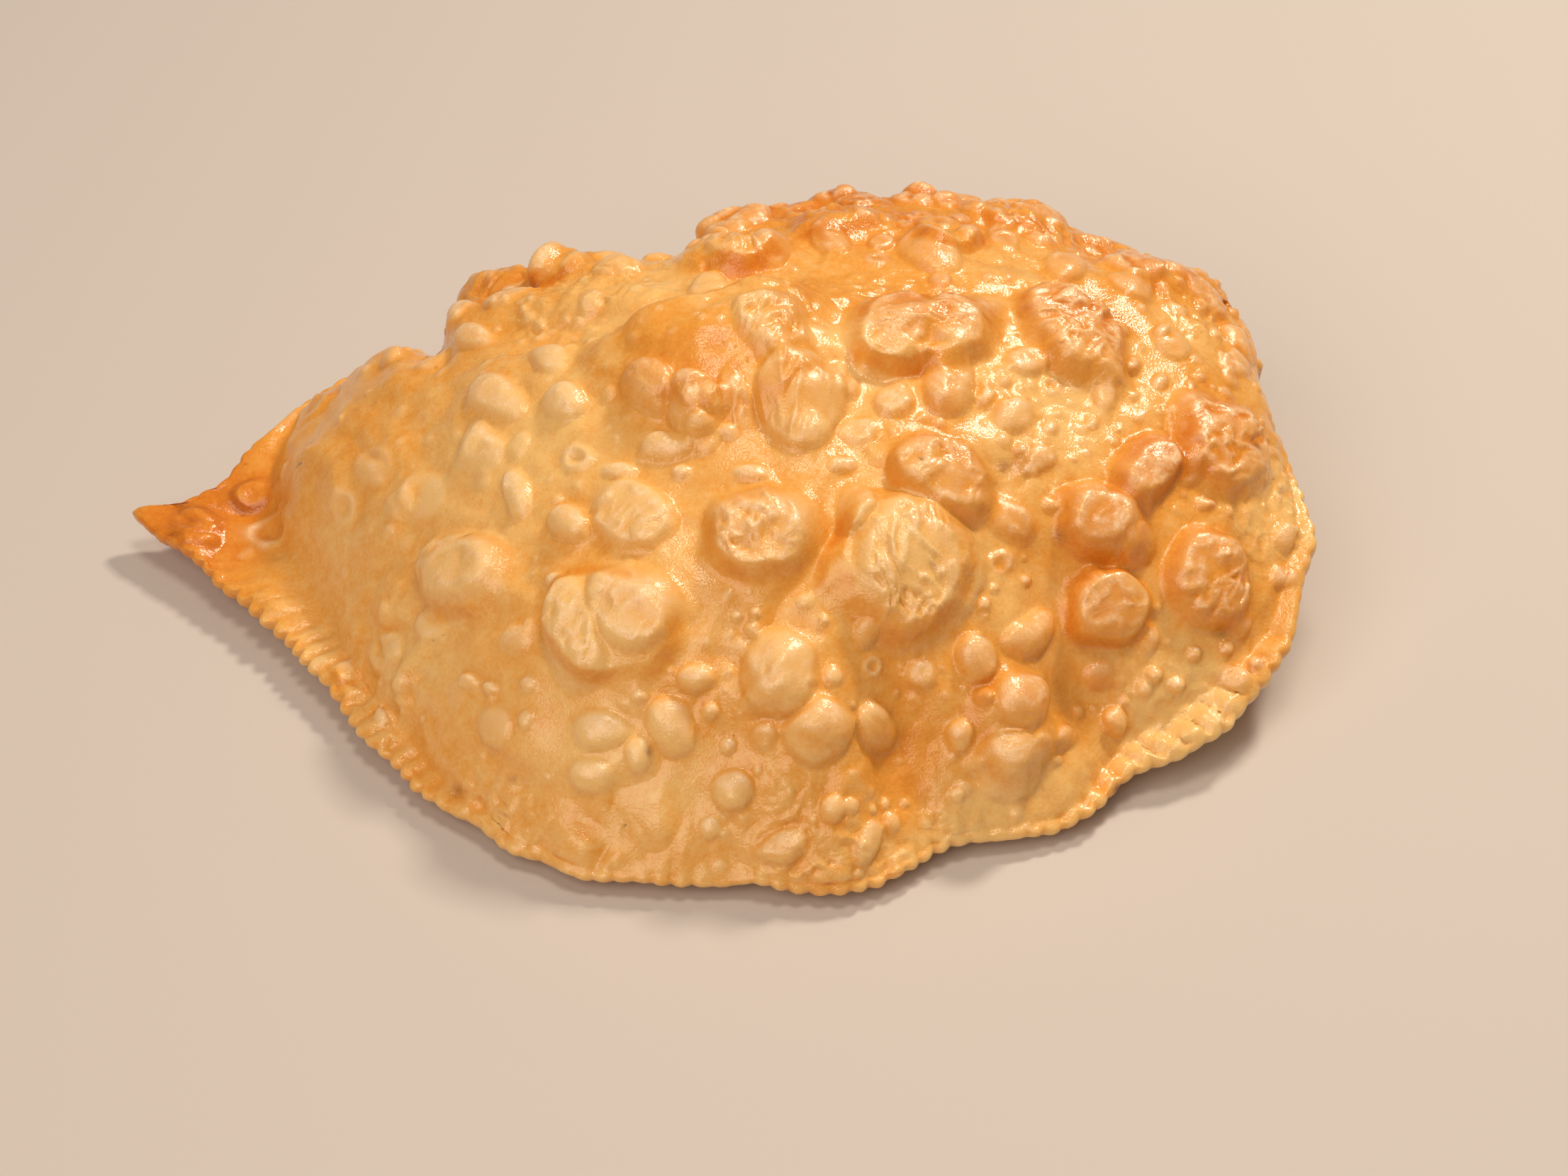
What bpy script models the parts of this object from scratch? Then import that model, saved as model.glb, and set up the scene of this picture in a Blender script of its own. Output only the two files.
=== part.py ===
"""Cheburek: one folded, deep-fried pasty, puffed up by steam and covered with blisters.

The whole pasty is one closed body. A sphere is pulled into its form: the equator becomes the rim,
crimped from the back left round the pointed tip and the front to the right end, and folded along
the back. The upper half becomes the puffed upper leaf and the lower half the flatter lower leaf,
which rests on a flat spot. Broad swells, blisters, crimp teeth and flutes are then raised on it.
"""

import bpy
import numpy as np

MM = 0.001  # the sizes below are in millimetres, the model is in metres
NAME = "cheburek"

# Puffed body
SUMMIT = (10.0, 24.0, 62.0)  # place and height of the top of the puff, before the swells
PUFF_FULLNESS = 2.3  # how square the puff's shoulders are
CRIMP_THICKNESS = 2.6
LIP_ROUNDING = 1.6  # how far in from the rim the crimped edge is rounded
UNDERSIDE_FULLNESS = 1.12  # over 1 leaves a flat spot to rest on
REST_SNAP = 0.35  # what lies lower than this on the underside is part of the flat spot

# Crimped rim
TOOTH_PITCH = 2.7
TOOTH_DEPTH = 1.3
TOOTH_REACH = 3.0
FLUTE_PITCH = 5.4
FLUTE_HEIGHT = 0.7
FLUTE_REACH = 11.0

# Distance from the crimped rim where the swells and blisters start and reach their full height
RELIEF_START = 1.5
RELIEF_FULL = 7.0

# Mesh
SEGMENTS = 225
RINGS = 50
FINER = 2  # times each face is then split in four
TRIANGLES = 11600

# The rim, from the tip along the front, the right end and the fold at the back:
# x, y, height over the table, width of the flat crimped band, roundness (0 crimped, 1 folded)
RIM = (
    (-114, 23.5, 8, 18, 0),
    (-95, 6, 7, 12, 0),
    (-77, -12.5, 6, 4, 0),
    (-61, -39, 5, 3, 0),
    (-44, -58, 4, 3, 0),
    (-25, -67, 4, 3, 0),
    (0, -69, 4, 3, 0),
    (23, -71.5, 4, 4, 0),
    (38, -62, 4, 3, 0),
    (62, -56, 4, 4, 0),
    (77, -46.5, 6, 9, 0),
    (92.5, -36.5, 9, 9, 0),
    (104, -21, 16, 6, 0),
    (109, 0, 24, 3, 0.2),
    (103.5, 24, 30, 0, 0.8),
    (96, 45, 30, 0, 1),
    (83, 64, 31, 0, 1),
    (62, 79, 32, 0, 1),
    (32, 83, 32, 0, 1),
    (4, 75, 30, 0, 1),
    (-16, 61, 28, 0, 1),
    (-37, 63, 28, 0, 1),
    (-51, 60, 28, 0, 1),
    (-58, 53.5, 25, 2, 0.5),
    (-74, 53, 18, 3, 0),
    (-83, 48.5, 15, 3, 0),
    (-91, 37.5, 12, 5, 0),
    (-99, 29, 9.5, 10, 0),
)

# Broad swells and hollows: x, y, width, depth, turn in degrees, height
SWELLS = (
    (6, 14, 34, 26, 0, 4.5),  # shoulder with the steep left flank
    (-36, 27, 40, 12, -12, -3.5),  # hollow between the left body and the fold
    (-46, 52, 30, 24, 0, 3.5),  # left lobe of the fold
    (-13, 54, 16, 34, 0, -3.5),  # notch between the fold's lobes
    (42, 62, 60, 26, 0, 2.0),  # middle lobe of the fold
    (84, 48, 30, 22, -30, 2.5),  # right lobe of the fold
    (71, 60, 10, 22, 0, -2.5),  # notch before the right lobe
    (25, -2, 12, 28, 0, -2.0),  # dip beside the large round blister
    (-24, -36, 60, 40, 0, 2.5),  # belly
    (31, -56, 13, 34, 0, -3.0),  # trough down the front
    (60, -27, 14, 24, 0, -2.5),
    (65, -38, 14, 18, 0, -2.5),
)

# Blisters: x, y, width, depth, turn in degrees, height, flatness (0 dome, 1 flat top)
BLISTERS = (
    (15, 0, 18, 20, 0, 3.4, 1),  # large ones on the top
    (8, -25, 20, 20, 0, 3.6, 1),
    (36, -29, 20, 24, 10, 3.6, 1),
    (41, -10, 16, 15, 0, 2.8, 1),
    (67, 26, 23, 14, -35, 3.2, 1),
    (35, 22, 22, 16, 0, 3.2, 1),
    (49, 26, 10, 15, 0, 2.8, 1),
    (42, 7, 11, 14, 0, 3.0, 0),
    (-16, -34, 17, 15, 0, 3.0, 1),  # on the belly
    (-26, -37, 12, 18, 0, 2.8, 1),
    (-49, -15, 21, 17, 20, 2.8, 1),
    (-16, -19, 15, 13, 0, 2.6, 1),
    (11, -45, 14, 16, 0, 4.2, 0),  # domes low on the front
    (17, -52, 13, 14, 0, 4.0, 0),
    (52, -48, 15, 14, 0, 3.6, 0),
    (57, -40, 14, 11, 0, 3.4, 0),
    (46, -39, 8, 10, 0, 2.8, 0),
    (57, -31, 10, 8, 0, 2.6, 0),
    (3, -57, 8, 9, 0, 2.6, 0),
    (-21, -49, 11, 8, 0, 2.0, 0),
    (-8, -49, 9, 11, 0, 2.2, 0),
    (29, -50, 7, 11, -10, 2.4, 0),
    (10, -63, 10, 6, 15, 2.0, 0),
    (71, -24, 16, 14, 0, 2.4, 1),  # right end
    (71, -9, 15, 13, 0, 3.2, 1),
    (78, -13, 9, 10, 0, 2.6, 0),
    (91, -11, 18, 19, 0, 2.6, 1),
    (80, 3, 11, 14, 0, 3.0, 1),
    (94, 17, 20, 13, -20, 2.6, 1),
    (53, -17, 12, 9, -25, 2.0, 1),
    (-5, 0, 11, 11, 0, 3.0, 1),  # left of the middle
    (-14, 5, 11, 11, 0, 2.6, 1),
    (-27, -19, 10, 8, 0, 2.6, 0),
    (-44, 14, 15, 12, 0, 2.2, 0),
    (-44, 1, 11, 10, 0, 2.4, 1),
    (-30, 5, 9, 8, 0, 2.6, 0),
    (-47, 31, 10, 8, 0, 2.0, 0),
    (-86, 18, 7, 11, 0, 2.0, 0),
    (1, 54, 12, 12, 0, 2.4, 0),  # along the fold
    (78, 48, 12, 13, 0, 2.4, 0),
)

SMALL_BLISTERS = 70
SMALL_WIDTH = (4.0, 7.5)
SMALL_SEED = 11


def smooth_step(low, high, value):
    """Rise from 0 to 1 between low and high, level at both ends."""
    share = np.clip((value - low) / (high - low), 0, 1)
    return share * share * (3 - 2 * share)


def closed_curve(points, steps=120):
    """Smooth closed curve through the points, with a corner at the first one, the tip."""
    count = len(points)
    share = np.arange(steps)[:, None] / steps
    pieces = []
    for i in range(count):
        before, start = points[i - 1], points[i]
        end, after = points[(i + 1) % count], points[(i + 2) % count]
        leave = end - start if i == 0 else (end - before) / 2
        arrive = end - start if i == count - 1 else (after - start) / 2
        pieces.append(
            (2 * share**3 - 3 * share**2 + 1) * start
            + (share**3 - 2 * share**2 + share) * leave
            + (3 * share**2 - 2 * share**3) * end
            + (share**3 - share**2) * arrive
        )
    return np.concatenate(pieces + [points[:1]])


def evenly_spaced(curve, count):
    """The curve's values at even steps of its length, and that length."""
    steps = np.linalg.norm(np.diff(curve[:, :2], axis=0), axis=1)
    length = np.concatenate([[0], np.cumsum(steps)])
    even = np.linspace(0, length[-1], count + 1)
    return np.stack([np.interp(even, length, column) for column in curve.T], -1), length[-1]


def first_waves(values, waves=2):
    """The values round the rim with only their first waves left, which makes them soft."""
    spectrum = np.fft.fft(values)
    order = np.fft.fftfreq(len(values), 1 / len(values))
    spectrum[np.abs(order) > waves] = 0
    return np.fft.ifft(spectrum)


def rim_tables(count=2048):
    """The true rim and a softened one for the inner part of the leaves, as tables of even steps."""
    true_rim, length = evenly_spaced(closed_curve(np.array(RIM, float)), count)
    plan = first_waves(true_rim[:-1, 0] + 1j * true_rim[:-1, 1])
    heights = first_waves(true_rim[:-1, 2]).real
    roundness = first_waves(true_rim[:-1, 4]).real
    soft = np.stack([plan.real, plan.imag, heights, roundness], -1)
    return true_rim, np.concatenate([soft, soft[:1]]), length


def look_up(share, table):
    """Each column of a rim table at the given shares of the way round."""
    steps = np.linspace(0, 1, len(table))
    return [np.interp(share, steps, column) for column in table.T]


def pasty_form(share, polar, true_rim, soft_rim):
    """Positions of the bare form, from the share round the rim and the angle from the top."""
    x, y, height, band, roundness = look_up(share, true_rim)
    soft_x, soft_y, soft_height, soft_roundness = look_up(share, soft_rim)
    out = np.sin(polar)
    rimward = smooth_step(0.25, 1.0, out)
    reach = np.hypot(x - SUMMIT[0], y - SUMMIT[1])
    plan_x = SUMMIT[0] + out * ((1 - rimward) * soft_x + rimward * x - SUMMIT[0])
    plan_y = SUMMIT[1] + out * ((1 - rimward) * soft_y + rimward * y - SUMMIT[1])

    seam = (1 - rimward) * soft_height + rimward * height
    fold = (1 - rimward) * np.clip(soft_roundness, 0, 1) + rimward * roundness
    puffed = np.clip(out / (1 - band / reach), 0, 1)
    puff = (1 - puffed**PUFF_FULLNESS) ** (1 - 0.5 * fold)
    puff = puff * (fold + (1 - fold) * smooth_step(0, 0.14, 1 - puffed))
    lip = LIP_ROUNDING / reach
    outer = np.clip((out - 1 + lip) / lip, 0, 1)
    half_edge = CRIMP_THICKNESS / 2 * np.sqrt(1 - outer**2)
    upper = seam + np.hypot(half_edge, (SUMMIT[2] - seam) * puff)
    sag = height * UNDERSIDE_FULLNESS * np.sqrt(np.clip(1 - out**2, 0, 1))
    lower = np.maximum(height - np.hypot(half_edge, sag), 0)
    return np.stack([plan_x, plan_y, np.where(polar <= np.pi / 2, upper, lower)], -1)


def crimp_teeth(points, share, polar, true_rim, length):
    """Push the crimped edge out into teeth, and raise the flutes that run in from it."""
    x, y, _, _, roundness = look_up(share, true_rim)
    along = share * length
    inward = np.hypot(x - points[:, 0], y - points[:, 1])
    crimped = 1 - smooth_step(0.1, 0.6, roundness)
    tangent_x, tangent_y = look_up(share, np.gradient(true_rim[:, :2], axis=0))
    size = np.hypot(tangent_x, tangent_y)
    tooth = crimped * TOOTH_DEPTH * np.cos(2 * np.pi * along / TOOTH_PITCH)
    tooth = tooth / 2 * (1 - smooth_step(0, TOOTH_REACH, inward))
    flute = crimped * FLUTE_HEIGHT * np.sin(2 * np.pi * along / FLUTE_PITCH)
    flute = flute * (1 - smooth_step(0, FLUTE_REACH, inward)) * smooth_step(0, 2, inward)
    flute = np.where(polar < np.pi / 2, flute, 0)
    outward = np.stack([tangent_y / size, -tangent_x / size, 0 * size], -1)
    return points + tooth[:, None] * outward + flute[:, None] * np.array((0, 0, 1))


def surface_place(points, upper, x, y):
    """Index of the point of the upper leaf that lies nearest to x, y in plan."""
    distance = (points[:, 0] - x) ** 2 + (points[:, 1] - y) ** 2
    return np.argmin(np.where(upper, distance, np.inf))


def around(points, normals, index, width, depth, turn):
    """The points round a place on the surface: which they are, and how far and in which direction
    they lie from it, the distance as a share of the mark's half size."""
    normal = normals[index]
    across = np.array((1.0, 0, 0)) - normal[0] * normal
    across /= np.linalg.norm(across)
    along = np.cross(normal, across)
    angle = np.radians(turn)
    offset = points - points[index]
    size = max(width, depth)
    near = np.flatnonzero(((offset**2).sum(1) < size**2) & (normals @ normal > 0))
    offset = offset[near]
    u = offset @ (np.cos(angle) * across + np.sin(angle) * along) / (width / 2)
    v = offset @ (np.cos(angle) * along - np.sin(angle) * across) / (depth / 2)
    return near, np.hypot(u, v), np.arctan2(v, u)


def swell_heights(points, normals, upper):
    """Sum of the broad swells, each a bell over its place."""
    total = np.zeros(len(points))
    for x, y, width, depth, turn, height in SWELLS:
        index = surface_place(points, upper, x, y)
        near, radius, _ = around(points, normals, index, width, depth, turn)
        total[near] += height * np.exp(-(radius**2)) * (1 - smooth_step(1.2, 2, radius))
    return total


def blister_heights(points, normals, upper, blisters):
    """The blisters as one layer: where two meet, the higher one leads."""
    total = np.zeros(len(points))
    for order, (x, y, width, depth, turn, height, flatness) in enumerate(blisters):
        index = surface_place(points, upper, x, y)
        near, radius, angle = around(points, normals, index, width, depth, turn)
        radius = radius * (1 + 0.07 * np.sin(3 * angle + order) + 0.04 * np.sin(5 * angle + 2 * order))
        dome = np.clip(1 - radius ** (2 + 2 * flatness), 0, 1) ** 0.8
        total[near] += (height * dome) ** 4
    return total**0.25


def small_blisters():
    """Seeded places and sizes for the small blisters, clear of the named ones."""
    draw = np.random.default_rng(SMALL_SEED)
    taken = [(row[0], row[1], max(row[2], row[3]) / 2) for row in BLISTERS]
    rows = []
    while len(rows) < SMALL_BLISTERS:
        x, y = draw.uniform(-80, 100), draw.uniform(-62, 70)
        width = draw.uniform(*SMALL_WIDTH)
        if all(np.hypot(x - a, y - b) > r + width / 2 for a, b, r in taken):
            rows.append((x, y, width, width * draw.uniform(0.8, 1.2), 0, width * 0.25, 0))
            taken.append((x, y, width / 2))
    return rows


def fried_dough():
    """Golden fried wheat dough with a thin film of oil."""
    material = bpy.data.materials.new("fried_dough")
    material.use_nodes = True
    shader = material.node_tree.nodes["Principled BSDF"]
    shader.inputs["Base Color"].default_value = (0.72, 0.36, 0.11, 1)
    shader.inputs["Roughness"].default_value = 0.38
    shader.inputs["Metallic"].default_value = 0.0
    return material


def read_mesh(mesh):
    """Positions in millimetres and normals of a mesh's points."""
    points = np.empty(len(mesh.vertices) * 3)
    normals = np.empty(len(mesh.vertices) * 3)
    mesh.vertices.foreach_get("co", points)
    mesh.vertices.foreach_get("normal", normals)
    return points.reshape(-1, 3) / MM, normals.reshape(-1, 3)


def write_mesh(mesh, points):
    """Put positions in millimetres into a mesh."""
    mesh.vertices.foreach_set("co", (points * MM).ravel())
    mesh.update()


def relief_share(points, share, polar, true_rim):
    """How much of the relief each point takes: none on the pinched rim, and on the underside
    only what runs down over the fold."""
    x, y, _, _, roundness = look_up(share, true_rim)
    inward = np.hypot(x - points[:, 0], y - points[:, 1])
    folded = smooth_step(0.2, 0.8, roundness)
    above = folded + (1 - folded) * smooth_step(RELIEF_START, RELIEF_FULL, inward)
    below = folded * (1 - smooth_step(0.5, 0.7, polar / np.pi))
    return np.where(polar <= np.pi / 2, above, below)


def raise_layer(mesh, heights_of):
    """Move a mesh's points along their normals by the heights that a function gives."""
    points, normals = read_mesh(mesh)
    write_mesh(mesh, points + normals * heights_of(points, normals)[:, None])


def evaluated(thing):
    """The mesh that an object's modifiers make, with the object itself removed."""
    bpy.context.view_layer.update()
    mesh = bpy.data.meshes.new_from_object(thing.evaluated_get(bpy.context.evaluated_depsgraph_get()))
    bpy.data.objects.remove(thing)
    return mesh


def fine_sphere():
    """A finely divided sphere with its poles on the Z axis."""
    bpy.ops.mesh.primitive_uv_sphere_add(segments=SEGMENTS, ring_count=RINGS, radius=1)
    sphere = bpy.context.object
    finer = sphere.modifiers.new("Finer faces", "SUBSURF")
    finer.subdivision_type = "SIMPLE"
    finer.levels = FINER
    finer.render_levels = FINER
    return evaluated(sphere)


def shaped_sphere():
    """A sphere's mesh pulled into the pasty with all its relief, still finely divided."""
    mesh = fine_sphere()
    unit, _ = read_mesh(mesh)
    share = np.arctan2(unit[:, 1], unit[:, 0]) / (2 * np.pi) % 1
    polar = np.arctan2(np.hypot(unit[:, 0], unit[:, 1]), unit[:, 2])
    upper = polar < np.pi / 2
    true_rim, soft_rim, length = rim_tables()
    form = pasty_form(share, polar, true_rim, soft_rim)
    write_mesh(mesh, crimp_teeth(form, share, polar, true_rim, length))

    share_of = relief_share(form, share, polar, true_rim)
    raise_layer(mesh, lambda points, normals: share_of * swell_heights(points, normals, upper))
    blisters = BLISTERS + tuple(small_blisters())
    raise_layer(
        mesh, lambda points, normals: share_of * blister_heights(points, normals, upper, blisters)
    )
    return mesh


def thinned(mesh):
    """The mesh with far fewer faces, kept where the relief needs them, its flat spot level
    and the middle of its outline in plan over the origin."""
    fine = bpy.data.objects.new("fine", mesh)
    bpy.context.scene.collection.objects.link(fine)
    fewer = fine.modifiers.new("Fewer faces", "DECIMATE")
    fewer.ratio = TRIANGLES / (2 * len(mesh.polygons))
    thin = evaluated(fine)
    points, _ = read_mesh(thin)
    points[points[:, 2] < REST_SNAP, 2] = 0
    middle = (points.min(0) + points.max(0)) / 2
    write_mesh(thin, points - middle * np.array((1, 1, 0)))
    thin.name = NAME
    return thin


def main():
    for old in list(bpy.data.objects):
        bpy.data.objects.remove(old)
    mesh = thinned(shaped_sphere())
    mesh.materials.append(fried_dough())
    mesh.shade_smooth()
    pasty = bpy.data.objects.new(NAME, mesh)
    collection = bpy.data.collections.new("Cheburek")
    bpy.context.scene.collection.children.link(collection)
    collection.objects.link(pasty)


main()
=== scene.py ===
"""Cheburek: the look of one folded, deep-fried pasty.

The dough is one closed mesh. A sphere of fine grid points is pulled into the pasty's form: its
equator is the rim, crimped from the back left round the tip and the front to the right end, and
folded along the back. Crimp marks and broad swells bend that form. All the finer relief, from the
raised pads to the blisters, their wrinkles and the crumpled skin, is then summed and raised on it
in one step, along the normals of the smooth form, so that one layer doesn't tear the next.
"""

import bpy
import numpy as np
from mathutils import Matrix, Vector


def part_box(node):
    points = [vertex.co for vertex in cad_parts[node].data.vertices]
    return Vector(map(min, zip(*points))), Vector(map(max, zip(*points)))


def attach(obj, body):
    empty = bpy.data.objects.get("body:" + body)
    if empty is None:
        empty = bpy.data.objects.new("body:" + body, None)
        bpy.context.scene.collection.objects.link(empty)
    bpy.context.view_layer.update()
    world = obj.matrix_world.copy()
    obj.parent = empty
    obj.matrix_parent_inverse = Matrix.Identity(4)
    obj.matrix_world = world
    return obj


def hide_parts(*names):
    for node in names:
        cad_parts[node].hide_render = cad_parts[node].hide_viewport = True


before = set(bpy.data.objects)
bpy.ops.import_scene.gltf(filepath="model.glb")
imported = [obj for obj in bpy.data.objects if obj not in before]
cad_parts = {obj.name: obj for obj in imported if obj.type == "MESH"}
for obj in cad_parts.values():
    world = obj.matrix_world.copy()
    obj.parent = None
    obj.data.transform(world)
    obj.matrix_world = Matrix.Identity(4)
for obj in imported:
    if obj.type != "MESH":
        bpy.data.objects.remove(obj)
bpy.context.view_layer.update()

MM = 0.001  # the sizes below are in millimetres, the scene is in metres

# Grid and finished mesh
COLUMNS = 1300
UPPER_ROWS = 280
LOWER_ROWS = 60
TRIANGLES = 196000

# Puffed body
SUMMIT = (10.0, 24.0, 59.8)
PUFF_FULLNESS = 2.3
PUFF_EDGE = 1.0  # width of the rise from the band, as a share of the band
FOLD_FULLNESS = 0.5  # how much blunter the leaf ends where it is folded
SOFT_CORE = 0.25  # share of the way out where the softened rim gives way to the true one
CRIMP_THICKNESS = 2.0
LIP_ROUNDING = 1.1
UNDERSIDE_FULLNESS = 1.12

# Crimped rim
TOOTH_PITCH = 3.5
TOOTH_REACH = 3.0
TOOTH_MIDDLE = 0.5  # the share of a tooth that lies outside the drawn rim
FLUTE_PITCH = 4.6
FLUTE_REACH = 9.0
FLUTE_MIDDLE = 0.4
RIM_SWAY = 1.5  # how far the edge wanders in plan
RIM_WAVE = 0.8  # and in height
SWAY_REACH = 9.0  # how far in that is felt
RELIEF_START = 0.3  # distance from the edge where the relief starts
RELIEF_FULL = 2.4  # and where it has its full height

# x, y, height over the table, width of the flat crimped band, roundness (0 crimped, 1 folded),
# depth of the teeth, height of the flutes
RIM = (
    (-114, 23.5, 8, 18, 0, 0.35, 0),  # the tip
    (-96, 5, 7, 12, 0, 0.9, 0.4),
    (-78, -14, 6, 5, 0, 0.95, 0.7),
    (-61.5, -40, 5, 4, 0, 0.9, 0.7),
    (-46, -56, 4, 2, 0, 0.6, 0.4),
    (-25, -69, 4, 0.5, 0, 0.5, 0.2),
    (0, -71, 4, 0, 0, 0.6, 0.2),
    (23, -73, 4, 0.5, 0, 0.8, 0.2),
    (38, -64, 4, 0.5, 0, 0.8, 0.3),
    (61, -57, 4, 1, 0, 0.5, 0.5),
    (71, -49, 5, 2.5, 0, 0.6, 1.0),
    (80, -44, 7, 5, 0, 0.7, 1.3),
    (92, -37, 9.5, 5, 0, 0.7, 1.3),
    (103.5, -22.5, 16, 3, 0, 0.6, 0.3),
    (109, -2, 24, 2, 0.2, 0.6, 0),
    (103, 25, 30, 0, 0.8, 0.3, 0),
    (99.5, 48, 30, 0, 1, 0, 0),
    (84, 64, 31, 0, 1, 0, 0),
    (62, 78, 32, 0, 1, 0, 0),
    (32, 81, 31, 0, 1, 0, 0),
    (4, 73, 29, 0, 1, 0, 0),
    (-16, 60, 27, 0, 1, 0, 0),
    (-37, 60, 26, 0, 1, 0, 0),
    (-51, 59, 26, 0, 1, 0, 0),
    (-57, 53, 22, 0.5, 0.4, 0.3, 0),
    (-74, 52.5, 18, 1, 0, 0.5, 0),
    (-83, 48, 15, 1, 0, 0.6, 0),
    (-91, 38.5, 12, 3, 0, 0.5, 0),
    (-99, 27.5, 9.5, 8, 0, 0.4, 0),
)

# Broad swells and hollows: x, y, width, depth, turn in degrees, height
SWELLS = (
    (-36, 27, 40, 12, -12, -3.5),  # hollow between the left body and the fold
    (-48, 52, 20, 18, 0, 1.5),  # left lobe of the fold
    (-57, 44, 9, 26, 0, -6),  # steep side of that lobe
    (-30, 54, 24, 20, 0, -2),
    (-13, 54, 16, 34, 0, -3),  # notch between the fold's lobes
    (93, 52, 16, 20, -30, 3),  # right lobe of the fold
    (71, 60, 10, 22, 0, -2.5),  # notch before the right lobe
    (25, -2, 12, 28, 0, -2),  # dip beside the large round blister
    (-24, -36, 60, 40, 0, 2),  # belly
    (31, -56, 13, 34, 0, -3),  # trough down the front
    (60, -29, 12, 24, 0, -2),
    (66, -38, 14, 16, 0, -2.5),
    (-91, 14, 10, 24, 0, -1.2),  # step between the tip and the left body
    (-79, 12, 14, 28, 0, 2.5),
)

# Broad raised pads under the blisters: x, y, width, depth, turn in degrees, height, and the share
# of the half width that the flank takes
PADS = (
    (4, 4, 34, 30, 10, 1.5, 0.6),  # shoulder
    (7.5, -28, 25.5, 23, 5, 2.4, 0.45),  # under the two large blisters on the front
    (31.5, -30.5, 30.5, 29, 44, 3.2, 0.34),
    (-18, -39, 29, 25, -13, 2.6, 0.4),  # under the twin blisters
    (-45.5, -21, 28, 19, -24, 2, 0.45),
    (37.5, 16, 32.5, 21, 17, 3.2, 0.4),  # crest
    (70, -25.5, 20.5, 17, 4, 2.6, 0.4),  # brown ones at the right end
    (69, -14, 22.5, 16.5, -1, 2, 0.4),
    (89, -16.5, 20, 22, -30, 2.2, 0.4),
    (92.5, 7, 23.5, 21.5, -22, 2.2, 0.4),
    (77.5, -3, 14, 18.5, -37, 2, 0.6),
    (65.5, 21.5, 28.5, 19, -43, 2.4, 0.4),
    (40, -14.5, 21.5, 18.5, -7, 2.2, 0.4),
    (2, 38, 26, 15, 5, 3, 0.6),  # behind the shoulder
    (22, 49, 26, 18, 5, 2.4, 0.6),  # along the fold
    (42, 47, 16, 15, 0, 2.2, 0.6),
    (54, 58, 22, 14, 0, 1.8, 0.6),
    (84, 45, 18, 13, -35, 1.8, 0.6),
    (-46, 50, 20, 16, 10, 1.6, 0.6),
    (-30, 47, 14, 12, 0, 1.8, 0.6),
    (52, -47, 22, 27, 2, 2.6, 0.6),  # above the front right edge
    (-33, -50, 30, 16, -15, 1.2, 0.8),
    (13.5, -51, 26, 27.5, 0, 2, 0.7),
    (-101, 19, 15, 11, -50, 1.3, 0.8),  # tip
    (-90, 27, 12, 9, 0, 1.6, 0.8),
    (-66, 8, 34, 40, 0, 1.5, 0.6),  # left body
    (-44, 12, 22, 26, 0, 1.2, 0.7),
)

# Wedges with a slope before and a drop behind: x, y of the middle of the crest, length of the
# crest, run of the slope, turn in degrees, height
WEDGES = ((-2, 19, 54, 31, 19, 6.5),)
WEDGE_DROP = 6.0

# Crumpled places: x, y, height over the table, radius, height of the ridges
CRUMPLES = (
    (-24, 34, 50, 13, 0.45),  # yellow strip along the hollow
    (10, 20, 66, 9, 0.6),  # crest of the shoulder
    (2, 40, 58, 10, 0.4),
    (-46, 50, 42, 12, 0.4),
    (25, 58, 50, 22, 0.35),
    (60, 60, 46, 20, 0.4),
    (90, 42, 40, 12, 0.4),
    (98, 0, 28, 14, 0.35),  # fingers on the right end
    (35, 22, 60, 12, 0.35),
    (-62, -28, 9, 14, 0.3),  # dimpled edge at the lower left
    (-40, -60, 6, 12, 0.4),
    (15, -66, 9, 14, 0.4),
    (40, -60, 8, 10, 0.3),
    (82, -36, 10, 12, 0.3),
)

# Lumpy places: x, y, height over the table, radius, height of the lumps
LUMPS = (
    (25, 62, 48, 28, 2),  # fold
    (65, 64, 42, 24, 2),
    (94, 38, 34, 20, 1.5),
    (-44, 50, 40, 16, 1),
    (-10, 45, 50, 18, 1.4),
    (98, -5, 26, 20, 1.1),
    (25, -10, 52, 60, 1.1),
    (10, -50, 24, 40, 1.2),
    (60, -45, 14, 22, 1.2),
    (-35, -20, 36, 28, 0.9),
    (-40, 12, 46, 18, 0.8),
    (-72, 18, 32, 22, 0.9),
    (-62, -25, 12, 18, 1.8),
    (-40, -60, 8, 16, 1.4),
    (-15, -66, 8, 18, 1.6),
    (10, -68, 10, 14, 1.4),
    (-74, 48, 18, 16, 2.4),
    (-103, 20, 6, 14, 2),
    (30, 30, 2, 90, 1.4),  # underside
)
LUMP_SIZES = (9.0, 4.5)

# Unevenness of the whole dough and of its skin: size, seed and height
UNEVENNESS = ((16, 1, 0.5), (6, 2, 0.4))
SKIN_UNEVENNESS = ((2.4, 3, 0.08),)

# Outlines of the pads and blisters
BEND = ((0.9, 6), (1.1, 13))  # how far they wander, and over what length
BEND_FULL = 5.0  # half width from which a blister's outline wanders that far
FOOT_SWING = 0.6  # how much softer or steeper a foot gets as it goes round
SWING_LENGTH = 8
REACH = 1.4  # how far out of its outline a mark is worked out
PAD_CROWN = 0.3  # how much lower a pad is at its edge than in its middle

# Wrinkled skins of the collapsed blisters
WRINKLE_STRETCH = 1.7  # how much longer a crease is than wide
WRINKLE_BEND = (2.6, 1.1)  # length and reach of the bends in a crease
DENTS = (3.4, 0.4)  # size and height
CREASES = ((2.6, 0.5), (1.1, 0.32))
CREASE_SHARE = 0.9
RIDGE = 2.6  # how narrow a ridge is
PIT = -0.45  # where the dips between creases level out

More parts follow.
